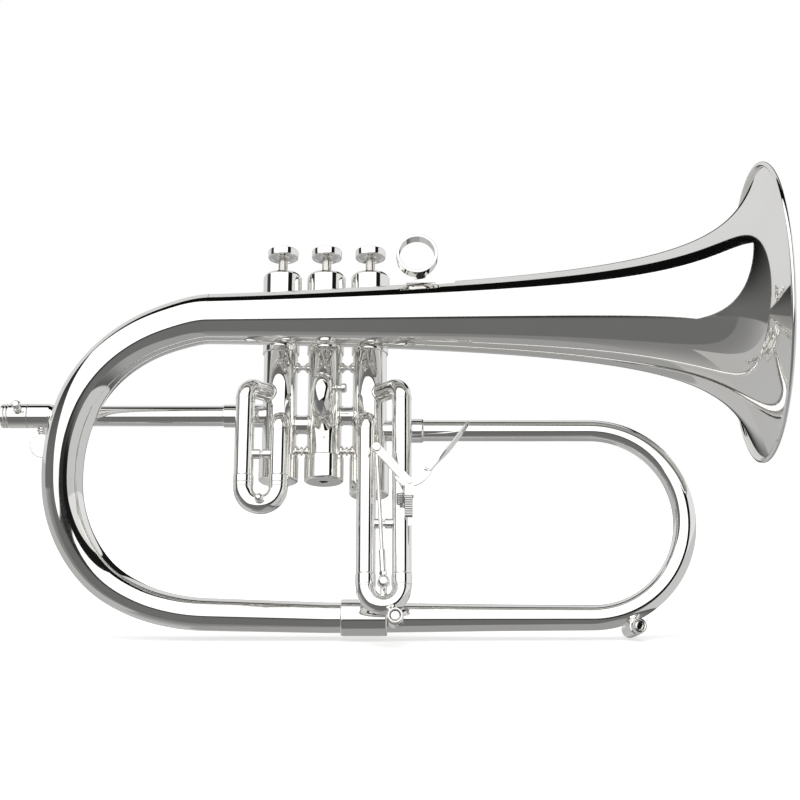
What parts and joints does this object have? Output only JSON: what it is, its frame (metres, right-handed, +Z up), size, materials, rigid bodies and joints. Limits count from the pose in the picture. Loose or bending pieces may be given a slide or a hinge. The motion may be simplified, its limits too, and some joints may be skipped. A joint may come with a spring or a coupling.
{
  "type": "flugelhorn",
  "caption": "Silver-plated flugelhorn: conical bell and bows, three leaning piston valves with slides, a third slide trigger and push-button water keys.",
  "frame": {"origin": "on the middle valve's axis, level with the mouthpipe's axis, where the left hand grips the valve block", "axes": "+X towards the bell's mouth, parallel to the mouthpipe; +Z up, in the plane of the bell and the bows; +Y to the player's right, away from the slides"},
  "size_m": [0.4084, 0.159, 0.2523],
  "materials": {
    "silver_plate": "bright polished silver plate over brass",
    "nickel_alloy": "lapped satin nickel alloy",
    "spring_steel": "drawn spring wire"
  },
  "bodies": {
    "horn": {"bell": "silver_plate", "back_bow": "silver_plate", "front_bow": "silver_plate", "lower_ferrule": "silver_plate", "front_bow_sleeve": "silver_plate", "mouthpipe": "silver_plate", "receiver_sleeve": "silver_plate", "mouthpipe_flange": "silver_plate", "casing_1": "silver_plate", "bottom_cap_1": "silver_plate", "top_cap_1": "silver_plate", "valve_guide_1": "nickel_alloy", "valve_spring_1": "spring_steel", "casing_2": "silver_plate", "bottom_cap_2": "silver_plate", "top_cap_2": "silver_plate", "valve_guide_2": "nickel_alloy", "valve_spring_2": "spring_steel", "casing_3": "silver_plate", "bottom_cap_3": "silver_plate", "top_cap_3": "silver_plate", "valve_guide_3": "nickel_alloy", "valve_spring_3": "spring_steel", "knuckle_1_2": "silver_plate", "knuckle_2_3": "silver_plate", "upper_brace_1_2": "silver_plate", "lower_brace_1_2": "silver_plate", "upper_brace_2_3": "silver_plate", "lower_brace_2_3": "silver_plate", "bell_brace_1": "silver_plate", "bell_brace_3": "silver_plate", "slide_1_leg_left": "silver_plate", "slide_1_leg_right": "silver_plate", "slide_1_brace": "silver_plate", "slide_2_leg_upper": "silver_plate", "slide_2_leg_lower": "silver_plate", "slide_3_leg_left": "silver_plate", "slide_3_leg_right": "silver_plate", "slide_3_brace": "silver_plate", "trigger_bracket": "silver_plate", "trigger_spring": "spring_steel", "water_key_body_2": "silver_plate", "finger_ring": "silver_plate"},
    "valve_1": {"piston_1": "nickel_alloy", "finger_button_1": "silver_plate"},
    "valve_2": {"piston_2": "nickel_alloy", "finger_button_2": "silver_plate"},
    "valve_3": {"piston_3": "nickel_alloy", "finger_button_3": "silver_plate"},
    "slide_1": {"slide_1_crook": "silver_plate"},
    "slide_2": {"slide_2_crook": "silver_plate"},
    "slide_3": {"slide_3_crook": "silver_plate", "water_key_body_1": "silver_plate"},
    "tuning_slide": {"mouthpiece_receiver": "silver_plate"},
    "lock_screw": {"mouthpiece_lock_screw": "silver_plate"},
    "spade_screw": {"spade_screw": "silver_plate"},
    "trigger_lever": {"trigger_lever": "silver_plate"},
    "trigger_rod": {"trigger_rod": "silver_plate"},
    "water_key_1": {"water_key_plunger_1": "silver_plate"},
    "water_key_2": {"water_key_plunger_2": "silver_plate"}
  },
  "joints": [
    {"name": "valve_1_press", "type": "slide", "parent": "horn", "child": "valve_1", "axis": [0, -0.309, -0.9511], "range_m": [0, 0.0098], "stiffness_N_per_m": 160, "springref_m": -0.016, "deforming": ["valve_spring_1"]},
    {"name": "valve_2_press", "type": "slide", "parent": "horn", "child": "valve_2", "axis": [0, -0.309, -0.9511], "range_m": [0, 0.0098], "stiffness_N_per_m": 160, "springref_m": -0.016, "deforming": ["valve_spring_2"]},
    {"name": "valve_3_press", "type": "slide", "parent": "horn", "child": "valve_3", "axis": [0, -0.309, -0.9511], "range_m": [0, 0.0098], "stiffness_N_per_m": 160, "springref_m": -0.016, "deforming": ["valve_spring_3"]},
    {"name": "slide_1_pull", "type": "slide", "parent": "horn", "child": "slide_1", "axis": [0, -0.309, -0.9511], "range_m": [0, 0.018]},
    {"name": "slide_2_pull", "type": "slide", "parent": "horn", "child": "slide_2", "axis": [0, -0.9511, 0.309], "range_m": [0, 0.009]},
    {"name": "trigger_pull", "type": "hinge", "parent": "horn", "child": "trigger_lever", "pos_m": [0.0456, -0.03984, -0.03395], "axis": [0, -0.9511, 0.309], "range_deg": [0, 28], "stiffness_Nm_per_rad": 0.08, "springref_deg": -28.65, "deforming": ["trigger_spring"]},
    {"name": "slide_3_push", "type": "slide", "parent": "horn", "child": "slide_3", "axis": [0, -0.309, -0.9511], "range_m": [0, 0.0091]},
    {"name": "trigger_rod_turn", "type": "hinge", "parent": "slide_3", "child": "trigger_rod", "pos_m": [0.0324, -0.05315, -0.08399], "axis": [0, -0.9511, 0.309], "range_deg": [0, 6]},
    {"name": "tuning_slide_pull", "type": "slide", "parent": "horn", "child": "tuning_slide", "axis": [-1, 0, 0], "range_m": [0, 0.018]},
    {"name": "lock_screw_turn", "type": "hinge", "parent": "tuning_slide", "child": "lock_screw", "pos_m": [-0.1647, 0, 0], "axis": [0, -0.8577, 0.5141], "range_deg": [0, 180]},
    {"name": "spade_screw_turn", "type": "hinge", "parent": "horn", "child": "spade_screw", "pos_m": [-0.1528, 0, -0.015], "axis": [0, 0, -1], "range_deg": [0, 180]},
    {"name": "water_key_1_press", "type": "slide", "parent": "slide_3", "child": "water_key_1", "axis": [0, 0.9511, -0.309], "range_m": [0, 0.0022], "stiffness_N_per_m": 300, "springref_m": -0.004},
    {"name": "water_key_2_press", "type": "slide", "parent": "horn", "child": "water_key_2", "axis": [-0.3001, 0.9054, -0.3001], "range_m": [0, 0.0022], "stiffness_N_per_m": 300, "springref_m": -0.004}
  ],
  "couplings": [
    {"joint": "trigger_pull", "follows": "slide_3_push", "rad_per_m": 53.7},
    {"joint": "trigger_rod_turn", "follows": "slide_3_push", "rad_per_m": 11.28}
  ]
}
